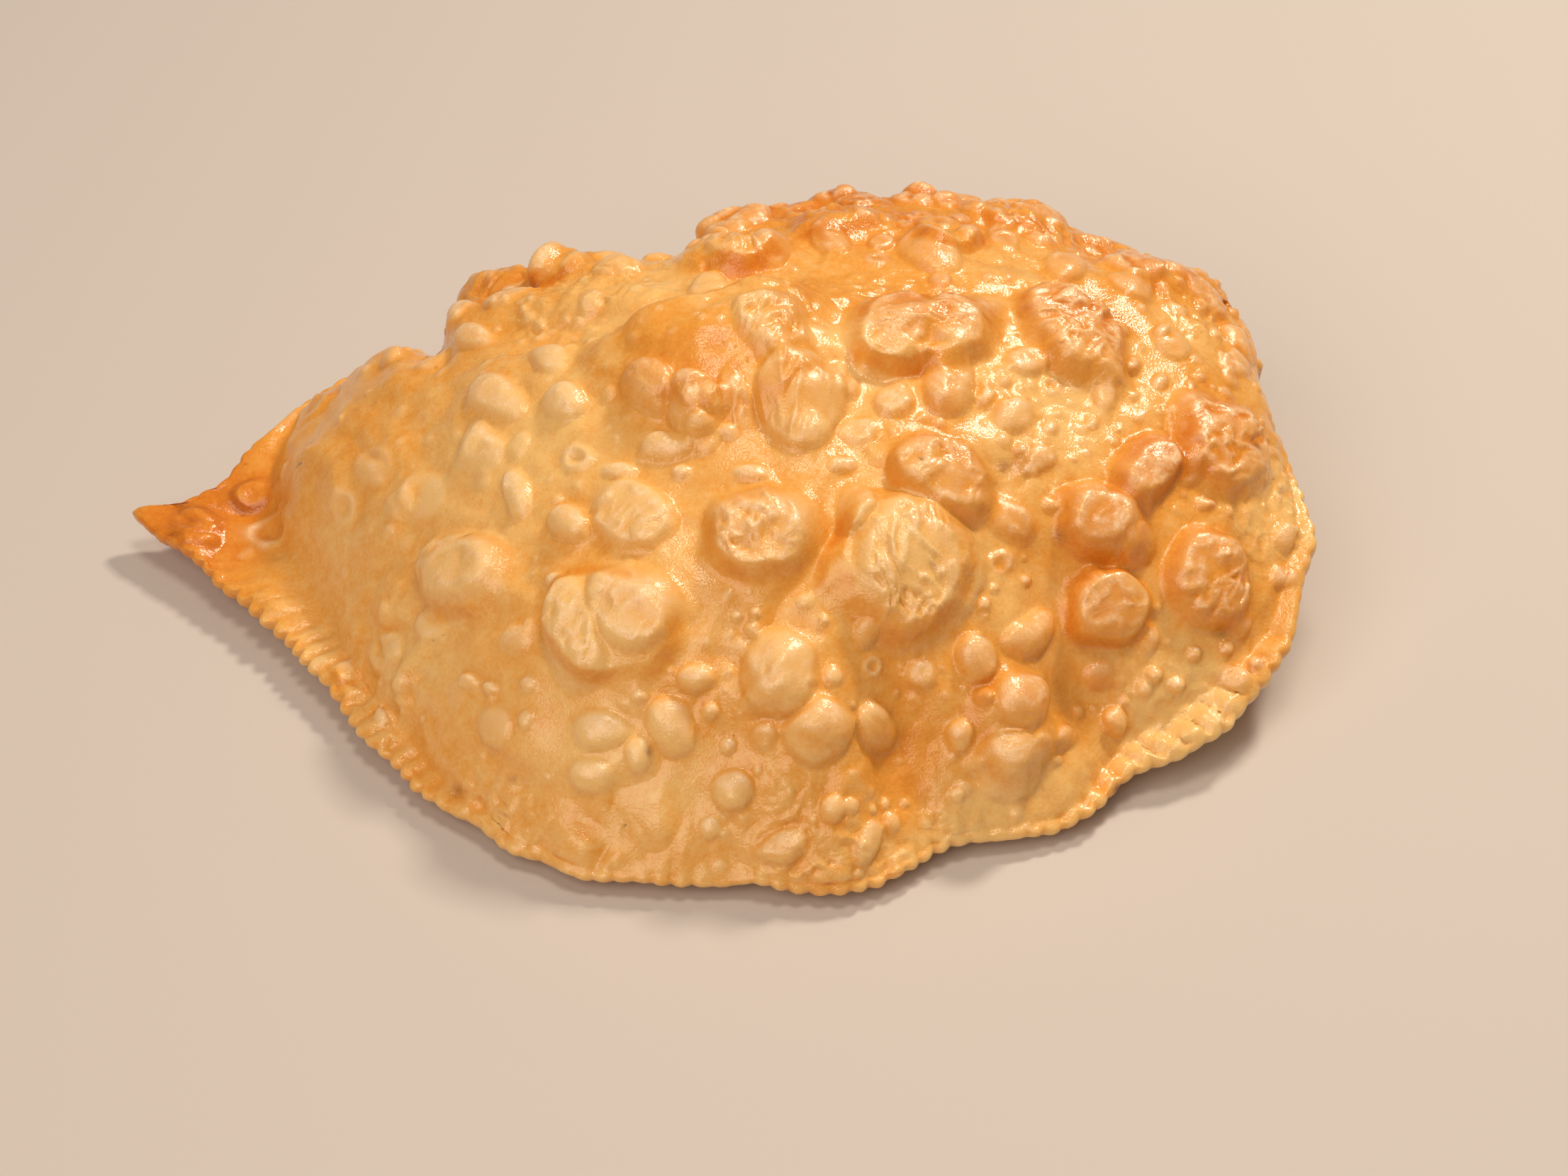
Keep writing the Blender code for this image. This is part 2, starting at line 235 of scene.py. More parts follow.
# Blisters: x, y, width, depth, turn in degrees, height, kind, wrinkle height, wrinkle direction.
# A row that ends with the height is a plain dome.
DOME, FLAT, RING = 0, 1, 2
SQUARENESS = (2, 2.2, 2)  # of the outline of each kind: 2 is an ellipse
FOOT = (1.2, 3.0, 1.2)  # width of the soft foot of each kind
RISE = (0.85, 0.7, 0.45)  # share of the heights below that each kind keeps after frying
DOME_BLUNTNESS = 0.8  # power of a dome's section
FLAT_CROWN = 0.2  # how much lower a flat one is at its edge than in its middle
RING_PLACE, RING_WIDTH = 0.6, 0.27  # of a ring's bell, as shares of the radius
BLISTERS = (
    (15, -2.5, 17.5, 21.5, -8, 4.2, DOME, 0.9, 80),  # large ones on the top
    (7.5, -27, 22.5, 20.5, -4, 3, FLAT, 1.1, -35),
    (35, -31, 26, 30, -16, 3, FLAT, 1.2, 110),
    (40, -14, 21, 18, -8, 2.8, FLAT, 0.8, 60),
    (65.5, 21.5, 30, 18.5, -42, 3.2, FLAT, 0.9, 60),
    (31, 15.5, 18, 20, -36, 2.6, FLAT, 0.7, 30),
    (44.5, 18.5, 15, 22, -28, 2.8, FLAT, 0.7, 40),
    (10.5, 12, 15.5, 17, 3, 2, FLAT, 1, 50),
    (41.5, 5, 11, 15, -13, 3.2, DOME, 0.4, 60),
    (-14.5, -37.5, 18.5, 17, -39, 2.8, FLAT, 0.6, 80),  # on the belly
    (-24, -39.5, 14, 23, 14, 2.6, FLAT, 0.7, 60),
    (-46.5, -18, 24, 16, -19, 2.6, FLAT, 0.35, 60),
    (-15.5, -22, 17.5, 14.5, -36, 2.4, FLAT, 0.6, 70),
    (10.5, -47, 14.5, 16.5, 1, 4.2, DOME, 0.3, 60),  # domes low on the front
    (17.5, -54.5, 13.5, 15, 0, 4, DOME, 0.3, 60),
    (51.5, -52, 13.5, 15, 11, 3.6, DOME, 0.1, 60),
    (54, -43.5, 13.5, 12, 6, 3.2, DOME, 0.1, 60),
    (46, -40.5, 9, 10, -3, 3, DOME, 0.2, 0),
    (55, -33, 14.5, 9.5, 23, 2.8, DOME, 0.1, 60),
    (2.5, -60.5, 8.5, 8.5, -6, 3, DOME, 0.1, 60),
    (-20.5, -52.5, 11.5, 8, 0, 2.2, DOME, 0.1, 60),
    (-8, -53.5, 10.5, 13, 0, 2.4, DOME, 0.2, 60),
    (-22.5, -57.5, 9, 8, 3, 1.6),
    (-3.5, -47.5, 7.5, 6, 0, 2.2, DOME, 0.1, 0),
    (27.5, -51, 8.5, 13, 28, 2.6, DOME, 0.1, 0),
    (42.5, -50, 6.5, 7.5, 6, 2.2),
    (11.5, -67.5, 11, 6.5, 26, 2, DOME, 0.2, 0),
    (26, -66, 6.5, 9, -23, 1.8, DOME, 0.1, 0),
    (20, -64, 5.5, 5.5, -5, 1.8, DOME, 0.1, 0),
    (70.5, -25, 17, 15, 6, 2.4, FLAT, 0.6, 60),  # right end
    (68, -13, 18.5, 15, 20, 3.2, FLAT, 0.6, 40),
    (75.5, -15, 9, 11.5, -10, 2.8, DOME, 0.2, 60),
    (89, -16.5, 19.5, 22, -24, 2.4, FLAT, 0.8, 70),
    (77.5, -2.5, 14, 18.5, -35, 3, FLAT, 0.7, 30),
    (92, 8, 24, 21.5, -27, 2.6, FLAT, 0.8, 60),
    (52, -17.5, 14, 9, -25, 1.8, FLAT, 0.3, 60),
    (71.5, -38.5, 5.5, 7, -1, 2.4),
    (-4, -4, 11.5, 13.5, 22, 3.8, DOME, 0.7, 80),  # on the slope of the shoulder
    (-12, 1, 10.5, 13, 27, 3.6, DOME, 0.6, 80),
    (-26, -21, 11.5, 8, -30, 2.8, DOME, 0.1, 0),
    (-41, 11.5, 19.5, 10, -40, 2.2, DOME, 0.2, 60),
    (-43.5, 1.5, 14.5, 10, -35, 2.4, FLAT, 0.4, 60),
    (-28.5, 3.5, 11, 8.5, -43, 2.8, DOME, 0.1, 0),
    (-46.5, 31.5, 12.5, 7, -40, 1.8),
    (-31.5, 16.5, 8, 14, 32, 1.6),
    (31, -0.5, 9, 9.5, -6, 2.2, DOME, 0.3, 60),
    (-36.5, -10.5, 7, 12, 21, 1.9, DOME, 0.2, 60),
    (-9.5, -9.5, 12, 7, -12, 1.7, DOME, 0.2, 60),
    (-25.5, -8, 9, 6.5, -29, 1.6, RING, 0, 0),
    (6, -16.5, 9.5, 5, -3, 1.6, DOME, 0.2, 0),
    (23.5, -22.5, 8.5, 10, -17, 1.9, DOME, 0.2, 60),
    (25, -7, 9.5, 7, 8, 1.2, DOME, 0.1, 0),
    (53.5, 1, 10, 8, 38, 1.8, DOME, 0.1, 0),
    (55.5, 14, 11, 7.5, 27, 2, DOME, 0.3, 60),
    (50, -25.5, 7, 5.5, 30, 1.1, RING, 0, 0),
    (27.5, -44, 5, 4.5, -3, 1.1, RING, 0, 0),
    (26, -40.5, 6.5, 6, 18, 1.6, DOME, 0.1, 0),
    (-70, 7.5, 8.5, 12, 22, 0.9, RING, 0, 0),
    (-85, 16.5, 17.5, 10.5, -9, 2, RING, 0, 0),
    (1, 54, 13, 14, 0, 2.6, DOME, 0.2, 60),  # along the fold
    (9.5, 38, 8, 11.5, 2, 2.2, DOME, 0.1, 60),
    (78, 48, 13, 14, 0, 2.6, DOME, 0.3, 60),
    (77.5, -27.5, 5.5, 7.5, -1, 1.4),
    (94, -20.5, 8, 9, -21, 1.8),
    (78.5, -32, 4.5, 4, -4, 1.8),
    (82.5, -32, 5, 4, 0, 2),
    (-39, -45.5, 10.5, 9, -18, 1.2),
    (-59.5, -22, 8.5, 6.5, -20, 1.4),
    (-61, -32.5, 5, 6.5, 9, 1.4),
    (-28.5, -30, 6.5, 4.5, -25, 1.7),
    (62.5, -12, 9, 7, 16, 1.6),
    (58, -6, 7, 6, 31, 1.5),
    (85.5, 0.5, 7.5, 9.5, -26, 1.6),
    (21, 64, 10.5, 8.5, 0, 2.2, DOME, 0.1, 0),  # lumps along the crest of the fold
    (38, 66, 16, 9.5, 0, 2.4, DOME, 0.2, 0),
    (5, 56, 9.5, 9.5, 0, 2.2, DOME, 0.1, 0),
    (-3, 54, 6, 6, 0, 1.8),
    (10, 61, 7, 6, 0, 1.6),
    (53, 65, 7, 7, 0, 1.6),
    (60, 66, 12, 9.5, 0, 2.2, DOME, 0.2, 0),
    (70, 63, 10.5, 10.5, 0, 2.2, DOME, 0.2, 0),
    (86, 50, 16, 10.5, -30, 1.8, DOME, 0.3, 0),
    (92, 45, 13, 9.5, -40, 2, DOME, 0.3, 0),
    (98, 37, 9.5, 12, 0, 2, DOME, 0.1, 0),
    (-34, 47, 9.5, 7.5, 0, 2, DOME, 0.2, 0),
    (-40, 41, 12, 9.5, 0, 1.8, DOME, 0.3, 60),
    (-50, 42, 9.5, 7.5, 20, 1.6, DOME, 0.1, 0),
    (82, 28.5, 3.5, 6, -26, 1.1),  # little ones seen one by one
    (76.5, 18.5, 5, 7, -29, 1.5, DOME, 0.1, 0),
    (60.5, 9.5, 4, 5, -26, 0.9, RING, 0, 0),
    (70, 10.5, 6, 9, 9, 1.5, DOME, 0.1, 0),
    (48.5, 3.5, 4.5, 6, -23, 1.2),
    (60, 0.5, 4, 5, -32, 0.9),
    (68, 4, 3.5, 4.5, -33, 1),
    (65.5, 12, 4.5, 6.5, -27, 0.8, RING, 0, 0),
    (81.5, 16.5, 4, 6, -33, 1),
    (96.5, 30, 7.5, 12.5, -32, 1.6),
    (47, -33, 3.5, 3.5, 23, 1.1),
    (49, -30, 3, 2.5, 28, 0.8),
    (55, -25.5, 4, 3, 12, 0.9),
    (6.5, -39.5, 3, 3, 13, 1.1),
    (3, -40, 3, 3, 14, 1),
    (18.5, -40.5, 3, 3, -32, 1.1),
    (1.5, -55.5, 4, 4, 38, 1.2),
    (-1, -65, 5, 5, -33, 1.2),
    (46.5, -45, 4.5, 4.5, -7, 1.2),
    (42.5, -56.5, 4, 3.5, -29, 1.1),
    (23, -63, 4, 3.5, -6, 1.1),
    (-36, -35.5, 9, 6.5, -23, 0.9),
    (-44.5, -37, 5.5, 3.5, -16, 1),
    (-40.5, -40, 4.5, 3, -14, 1),
    (-32.5, -47.5, 4, 4.5, 7, 1),
    (-33, -43, 4.5, 3.5, -11, 0.9),
    (104.5, -4, 7.5, 5.5, 42, 1.2),
    (103, -10.5, 7, 5.5, 31, 1.2),
    (89.5, -4.5, 3, 2.5, 37, 0.8),
    (81.5, -18.5, 3.5, 3, 20, 1),
    (97.5, -26.5, 3.5, 3.5, 37, 1),
    (69, -33, 7, 6.5, -42, 1.2),
    (67, -21.5, 5, 4.5, 6, 1.4, DOME, 0.2, 0),
    (72.5, -23.5, 4.5, 6.5, -4, 1.4, DOME, 0.2, 0),
    (1.5, -8.5, 5.5, 4, -9, 1.3),
    (-17.5, -12.5, 8.5, 5, -17, 1.3, DOME, 0.2, 0),
    (-6.5, -15, 4.5, 3.5, -14, 1),
    (22, -14.5, 6.5, 4.5, 14, 1, DOME, 0.1, 0),
    (3, -3.5, 7.5, 11.5, 3, 1, FLAT, 0.9, 85),
    (28.5, 7.5, 8, 6, -3, 1.8, DOME, 0.2, 60),
    (56.5, -8.5, 5.5, 4, 19, 1),
    (54.5, -5.5, 4, 3.5, 23, 0.9),
    (36, -43.5, 7, 6.5, -2, 1.4, DOME, 0.4, 60),
    (20, -47.5, 4.5, 4.5, 30, 1.2),
    (92, -25, 3.5, 4, -26, 1),
    (86, -27.5, 4, 4, 2, 1.2),
    (93, -29, 7.5, 6.5, -8, 1),
    (85, -17, 7.5, 6.5, 22, 1.8, DOME, 0.3, 0),
    (91.5, -12.5, 9, 8, 37, 1.6, DOME, 0.3, 0),
    (37.5, 9, 4, 4.5, -26, 1),
    (21, 5, 4.5, 6, -22, 1, DOME, 0.1, 0),
    (51.5, 7.5, 3.5, 4, -30, 0.9),
    (-57.5, -29.5, 6.5, 4.5, 4, 1.2),
    (-52, -24.5, 10.5, 8, -23, 1),
    (-64, 11, 13.5, 9.5, -41, 0.8),
    (-54.5, -0.5, 10, 13.5, 38, 0.9),
    (-14.5, -56.5, 6, 7.5, -1, 1.6, DOME, 0.1, 0),
    (-1, -51.5, 3.5, 3.5, 7, 1.2),
    (-13.5, -49.5, 4, 3, 0, 1),
    (8, -55, 6, 6, 20, 1.2),
    (56.5, -49, 7, 7.5, 5, 1.6),
    (62, -44.5, 8.5, 6, 32, 1.4),
)

# Seeded small blisters, a row for each crowd of them: x, y, height over the table and radius of
# the crowd, number of tries, smallest and largest width, height as a share of the width
CROWDS = (
    (60, 8, 50, 18, 120, 1.8, 4.5, 0.2),
    (52, 60, 50, 26, 70, 6, 12, 0.2),  # along the fold
    (15, 52, 52, 22, 60, 5, 11, 0.2),
    (60, 76, 36, 40, 110, 5, 11, 0.2),
    (0, 72, 34, 40, 90, 5, 11, 0.2),
    (86, 42, 42, 16, 70, 3, 7, 0.22),
    (95, 6, 32, 18, 140, 1.6, 4, 0.2),  # right end
    (84, -34, 10, 14, 30, 2, 4.5, 0.22),
    (-42, 47, 42, 14, 60, 2.5, 6, 0.18),  # left lobe and hollow
    (-22, 18, 52, 18, 70, 1.6, 4, 0.16),
    (-70, 8, 28, 30, 40, 1.6, 5, 0.1),  # left body
    (-5, -45, 30, 36, 60, 1.6, 4, 0.18),  # belly
    (38, -56, 12, 26, 120, 1.8, 4.5, 0.22),
    (10, 5, 40, 80, 160, 1.5, 3, 0.16),
    (10, 10, 2, 90, 200, 2, 8, 0.1),  # underside
)
SMALL_SEED = 5
RING_CHANCE = 0.12  # share of the small blisters that have burst to a ring

# Toasting, from 0, pale, to 1, brown
TOAST_START = 0.33
FLANK_BROWNING_AND_SHADE = 0.24  # how much browner the flanks of the pads are: partly browning, partly painted shade
SKIN_TOAST = (-0.02, 0.20)  # and the skins of the blisters, at the left and at the right end
MOTTLE_TOAST = ((14, 71, 0.08), (5, 72, 0.05))  # size, seed and strength of the clouds

# Toasted places: x, y, height over the table, radius, how much browner (or paler, if negative)
TOASTS = (
    (-104, 20, 8, 20, 0.36),  # tip
    (-44, 53, 44, 18, 0.18),  # left lobe of the fold
    (18, 58, 50, 24, 0.2),
    (56, 66, 48, 26, 0.1),
    (-10, 8, 62, 13, 0.18),  # slope of the shoulder: browner, partly painted shade
    (0, 0, 56, 12, 0.06),
    (7, -36, 40, 12, 0.06),
    (20, -28, 46, 6, 0.14),
    (35, -31, 44, 12, -0.16),
    (38, -9, 52, 9, 0.14),  # brown blisters at the right end
    (70, -9, 40, 10, 0.12),
    (70, -21, 30, 12, 0.04),
    (92, -12, 28, 12, 0.06),
    (94, 13, 38, 12, 0.2),
    (79, 0, 42, 9, 0.2),
    (33, 22, 62, 13, 0.24),
    (67, 26, 54, 11, 0.31),
    (84, 48, 48, 14, 0.18),
    (33, -52, 15, 9, 0.16),
    (60, -37, 20, 9, 0.12),
    (30, 0, 56, 36, -0.12),  # paler top
    (60, 9, 50, 20, -0.14),  # pale valleys
    (78, 26, 48, 20, -0.12),
    (24, 12, 60, 8, -0.2),
    (-34, -4, 48, 22, -0.14),
    (-20, 22, 52, 18, -0.12),
    (-25, -60, 10, 24, -0.1),
    (84, -38, 9, 13, -0.28),
    (-15, -45, 30, 24, -0.08),
    (-58, -25, 14, 14, -0.12),
    (-62, -4, 30, 26, -0.06),
    (100, 0, 28, 12, -0.2),
    (50, -55, 8, 14, -0.16),
)

# Burnt specks and smears: x, y, radius, strength
SPECKS = (
    (71.6, -49, 1.2, 0.9),
    (99, 7, 1, 0.7),
    (61, -18, 1.5, 0.4),
    (92, -23, 1.6, 0.35),
    (54, -8, 2.4, 0.35),
    (51, -9, 1.2, 0.5),
    (-47, -50, 1.3, 0.45),
    (47, -38, 0.7, 0.6),
    (38, -33, 0.8, 0.3),
    (-12, -57, 0.7, 0.7),
    (-36, -54, 0.6, 0.5),
    (-66, 2, 0.7, 0.5),
    (27, 71, 1.2, 0.3),
    (73, 12, 0.7, 0.5),
    (66, 33, 0.6, 0.4),
)

# Colours of the dough from pale to dark, as seen in daylight
PALE = "f5c87e"
GOLDEN = "eba445"
AMBER = "dc8220"
BROWN = "b6641a"
BURNT = "6e3113"
PAINTED_HIGHLIGHT = "ffe0b6"  # painted highlight on the ridges of the blister skins that face up
CLOUD_MIDDLE = 0.8  # of the clouds in the crust
CLOUD_TOAST = 0.4  # how much they change the toasting
HOLLOW_SHADE = 0.06  # painted shade: how much darker a hollow is, and how much paler a sharp ridge
CREASE_DEPTH = -3.0  # of the fine creases, set against the grain's height

# Camera at the photograph's angle
AIM = (0.01366, -0.0094, 0.014)
DISTANCE = 0.69
ELEVATION = 42
LENS = 85
SENSOR = 36

# Square lights that look at the aim: name, place, size, power and colour
LIGHTS = (
    ("key", (0.42, 0.48, 0.80), 0.14, 5.9, "ffeed6"),  # from the back right
    ("overhead", (0.1, -0.05, 1.1), 0.28, 3.2, "ffecd2"),
    ("fill", (-0.4, -0.7, 0.8), 0.8, 5.7, "ffead6"),
)
SKY = ("fff0dc", 0.18)
FLOOR = ("cfc9c8", 1.5)  # colour and half width of the board


def linear(hex_colour):
    """An sRGB hex colour as linear red, green, blue and alpha."""
    parts = [int(hex_colour[i : i + 2], 16) / 255 for i in (0, 2, 4)]
    return [c / 12.92 if c <= 0.04045 else ((c + 0.055) / 1.055) ** 2.4 for c in parts] + [1.0]


def smooth_step(low, high, value):
    """Rise from 0 to 1 between low and high, level at both ends."""
    share = np.clip((value - low) / (high - low), 0, 1)
    return share * share * (3 - 2 * share)


def closed_curve(points, steps=120):
    """Smooth closed curve through the points, with a corner at the first one, the tip."""
    count = len(points)
    share = np.arange(steps)[:, None] / steps
    pieces = []
    for i in range(count):
        before, start = points[i - 1], points[i]
        end, after = points[(i + 1) % count], points[(i + 2) % count]
        leave = end - start if i == 0 else (end - before) / 2
        arrive = end - start if i == count - 1 else (after - start) / 2
        pieces.append(
            (2 * share**3 - 3 * share**2 + 1) * start
            + (share**3 - 2 * share**2 + share) * leave
            + (3 * share**2 - 2 * share**3) * end
            + (share**3 - share**2) * arrive
        )
    return np.concatenate(pieces + [points[:1]])


def evenly_spaced(curve, count):
    """The curve's values at even steps of its length, and that length."""
    steps = np.linalg.norm(np.diff(curve[:, :2], axis=0), axis=1)
    length = np.concatenate([[0], np.cumsum(steps)])
    even = np.linspace(0, length[-1], count + 1)
    return np.stack([np.interp(even, length, column) for column in curve.T], -1), length[-1]


def first_waves(values, waves=2):
    """The values round the rim with only their first waves left, which makes them soft."""
    spectrum = np.fft.fft(values)
    order = np.fft.fftfreq(len(values), 1 / len(values))
    spectrum[np.abs(order) > waves] = 0
    return np.fft.ifft(spectrum)


def rim_tables(count=2048):
    """The true rim and a softened one for the inner part of the leaves, as tables of even steps."""
    true_rim, length = evenly_spaced(closed_curve(np.array(RIM, float)), count)
    plan = first_waves(true_rim[:-1, 0] + 1j * true_rim[:-1, 1])
    heights = first_waves(true_rim[:-1, 2]).real
    roundness = first_waves(true_rim[:-1, 4]).real
    soft = np.stack([plan.real, plan.imag, heights, roundness], -1)
    return true_rim, np.concatenate([soft, soft[:1]]), length


def look_up(share, table):
    """Each column of a rim table at the given shares of the way round."""
    steps = np.linspace(0, 1, len(table))
    return [np.interp(share, steps, column) for column in table.T]


def pasty_form(share, polar, true_rim, soft_rim):
    """Positions of the bare form, from the share round the rim and the angle from the top.
    In plan the points go straight out from the summit to the rim, by the sine of the angle. The
    upper leaf stands over the rim by (1 - out**fullness), the lower one hangs by a half ellipse."""
    x, y, height, band, roundness, _, _ = look_up(share, true_rim)
    soft_x, soft_y, soft_height, soft_roundness = look_up(share, soft_rim)
    out = np.sin(polar)
    rimward = smooth_step(SOFT_CORE, 1.0, out)
    reach = np.hypot(x - SUMMIT[0], y - SUMMIT[1])
    plan_x = SUMMIT[0] + out * ((1 - rimward) * soft_x + rimward * x - SUMMIT[0])
    plan_y = SUMMIT[1] + out * ((1 - rimward) * soft_y + rimward * y - SUMMIT[1])

    seam = (1 - rimward) * soft_height + rimward * height
    fold = (1 - rimward) * np.clip(soft_roundness, 0, 1) + rimward * roundness
    puffed = np.clip(out / (1 - band / reach), 0, 1)
    puff = (1 - puffed**PUFF_FULLNESS) ** (1 - FOLD_FULLNESS * fold)
    rise = smooth_step(0, PUFF_EDGE * (band + 1) / reach, 1 - puffed)
    puff = puff * (fold + (1 - fold) * rise)
    lip = LIP_ROUNDING / reach
    outer = np.clip((out - 1 + lip) / lip, 0, 1)
    half_edge = CRIMP_THICKNESS / 2 * np.sqrt(1 - outer**2)
    upper = seam + np.hypot(half_edge, (SUMMIT[2] - seam) * puff)
    sag = height * UNDERSIDE_FULLNESS * np.sqrt(np.clip(1 - out**2, 0, 1))
    lower = np.maximum(height - np.hypot(half_edge, sag), 0)
    return np.stack([plan_x, plan_y, np.where(polar <= np.pi / 2, upper, lower)], -1)


class Dough:
    """The dough's grid: rows of points from the top pole to the bottom pole, closed round."""

    def __init__(self, columns, upper_rows, lower_rows):
        upper = np.linspace(0, np.pi / 2, upper_rows + 1)[1:]
        lower = np.linspace(np.pi / 2, np.pi, lower_rows + 1)[1:-1]
        polar = np.concatenate([upper, lower])
        self.rows, self.columns = len(polar), columns
        share, polar = np.meshgrid(np.arange(columns) / columns, polar)
        self.share = np.concatenate([share.ravel(), [0, 0]])
        self.polar = np.concatenate([polar.ravel(), [0, np.pi]])
        self.upper = self.polar <= np.pi / 2
        self.true_rim, self.soft_rim, self.length = rim_tables()
        self.points = pasty_form(self.share, self.polar, self.true_rim, self.soft_rim)
        self.measure()
        self.bend = np.zeros((len(self.points), 2))
        for reach, length in BEND:
            noises = [lattice_noise(self.points, length, seed) for seed in (31, 32)]
            self.bend += reach * np.stack(noises, -1)
        self.swing = 1 + FOOT_SWING * lattice_noise(self.points, SWING_LENGTH, 33)

    def layers(self, values):
        """Point values as a grid with a row for the top pole before and the bottom pole after."""
        grid = values[:-2].reshape(self.rows, self.columns, -1)
        top = np.broadcast_to(values[-2], grid[:1].shape)
        bottom = np.broadcast_to(values[-1], grid[:1].shape)
        return np.concatenate([top, grid, bottom])

    def measure(self):
        """Work out the normals, the cross product of the steps down and along the grid, the area
        round each point, and the points' order by x, which finds neighbours quickly."""
        grid = self.layers(self.points)
        down = grid[2:] - grid[:-2]
        along = np.roll(grid[1:-1], -1, 1) - np.roll(grid[1:-1], 1, 1)
        cross = np.cross(down, along).reshape(-1, 3)
        size = np.linalg.norm(cross, axis=1, keepdims=True)
        normals = cross / np.maximum(size, 1e-9)
        self.normals = np.concatenate([normals, [[0, 0, 1], [0, 0, -1]]])
        self.area = np.concatenate([size[:, 0] / 4, [0, 0]])
        self.by_x = np.argsort(self.points[:, 0])
        self.sorted_x = self.points[self.by_x, 0]

    def raise_by(self, heights):
        """Move the points along their normals."""
        self.points = self.points + self.normals * heights[:, None]
        self.measure()

    def nearest(self, x, y):
        """Index of the point of the upper leaf that lies nearest to x, y in plan."""
        distance = (self.points[:, 0] - x) ** 2 + (self.points[:, 1] - y) ** 2
        return np.argmin(np.where(self.upper, distance, np.inf))

    def around(self, index, width, depth, turn):
        """The points round a place on the surface, and their distances across and along it as
        shares of the mark's half sizes."""
        place, normal = self.points[index], self.normals[index]
        across = np.array((1.0, 0, 0)) - normal[0] * normal
        across /= np.linalg.norm(across) + 1e-9
        along = np.cross(normal, across)
        size = 0.8 * max(width, depth)
        first, last = np.searchsorted(self.sorted_x, (place[0] - size, place[0] + size))
        near = self.by_x[first:last]
        offset = self.points[near] - place
        keep = ((offset**2).sum(1) < size**2) & (self.normals[near] @ normal > -0.2)
        near, offset = near[keep], offset[keep]
        angle = np.radians(turn)
        u = offset @ (np.cos(angle) * across + np.sin(angle) * along) / (width / 2)
        v = offset @ (np.cos(angle) * along - np.sin(angle) * across) / (depth / 2)
        return near, u, v

    def relief_share(self):
        """How much of the relief each point takes: little on the pinched rim, and on the
        underside what runs down over the fold, and a part of the rest."""
        x, y, _, _, roundness, _, _ = look_up(self.share, self.true_rim)
        inward = np.hypot(x - self.points[:, 0], y - self.points[:, 1])
        folded = smooth_step(0.2, 0.8, roundness)
        pinch = smooth_step(RELIEF_START, RELIEF_FULL, inward)
        above = folded + (1 - folded) * pinch
        below = folded * (1 - smooth_step(0.55, 0.8, self.polar / np.pi)) + 0.3 * pinch
        return np.where(self.upper, above, np.clip(below, 0, 1))


def lattice_noise(points, size, seed):
    """Smooth noise from -1 to 1: random values on a cubic lattice with the given spacing, blended
    between the eight corners of each cell by a smooth step."""
    table = np.random.default_rng(seed).uniform(-1, 1, (32, 32, 32))
    turn = np.array(((0.36, 0.48, -0.8), (-0.8, 0.6, 0), (0.48, 0.64, 0.6)))
    place = points @ turn / size
    cell = np.floor(place).astype(int)
    share = place - cell
    share = share * share * (3 - 2 * share)
    total = np.zeros(len(points))
    for corner in np.ndindex(2, 2, 2):
        x, y, z = ((cell + corner) % 32).T
        weight = np.where(corner, share, 1 - share).prod(1)
        total += weight * table[x, y, z]
    return total


def layered_noise(points, layers):
    """Sum of the noises of a table with a size, a seed and a height in each row."""
    return sum(height * lattice_noise(points, size, seed) for size, seed, height in layers)


def ridges(points, size, seed):
    """Ridges where a noise crosses zero: one less a multiple of the noise's size."""
    return 1 - RIDGE * np.abs(lattice_noise(points, size, seed))


def bell(points, place, radius):
    """A bell round a place: e to the power of minus the square of the distance over the radius."""
    away = np.linalg.norm(points - place, axis=1) / radius
    return np.exp(-(away**2))


def bent(points, length, reach, seed):
    """The points moved by three noises of the given length, which bends a pattern on them."""
    noises = [lattice_noise(points, length, seed + axis) for axis in range(3)]
    return points + reach * np.stack(noises, -1)


def strongest_bell(points, rows):
    """The highest of the bells of a table with a place, a radius and a height in each row."""
    weight = np.zeros(len(points))
    for x, y, z, radius, height in rows:
        weight = np.maximum(weight, height * bell(points, (x, y, z), radius))
    return weight


def swell_heights(dough):
    """Sum of the broad swells, each a bell over its place."""
    total = np.zeros(len(dough.points))
    for x, y, width, depth, turn, height in SWELLS:
        near, u, v = dough.around(dough.nearest(x, y), 2 * width, 2 * depth, turn)
        radius = 2 * np.hypot(u, v)
        total[near] += height * np.exp(-(radius**2)) * (1 - smooth_step(1.2, 2, radius))
    return total


def wrinkles(u, v, width, depth, direction, seed):
    """Wrinkles of a collapsed skin, from about -1 to 1: dents and two sizes of ridges of a noise
    that is bent and drawn out along a direction, with the dips between the ridges levelled."""
    angle = np.radians(direction)
    x, y = u * width / 2, v * depth / 2
    length = np.cos(angle) * x + np.sin(angle) * y
    across = np.cos(angle) * y - np.sin(angle) * x
    flat = np.stack([length / WRINKLE_STRETCH, across, np.full_like(x, 7.3 * seed)], -1)
    bend_length, bend_reach = WRINKLE_BEND
    bends = [lattice_noise(flat, bend_length, seed + axis) for axis in range(2)]
    place = flat + bend_reach * np.stack([*bends, 0 * x], -1)
    size, height = DENTS
    total = height * lattice_noise(place, size, seed + 2)
    for order, (size, height) in enumerate(CREASES):
        total += height * np.maximum(ridges(place, size, seed + 3 + order), PIT)
    return total


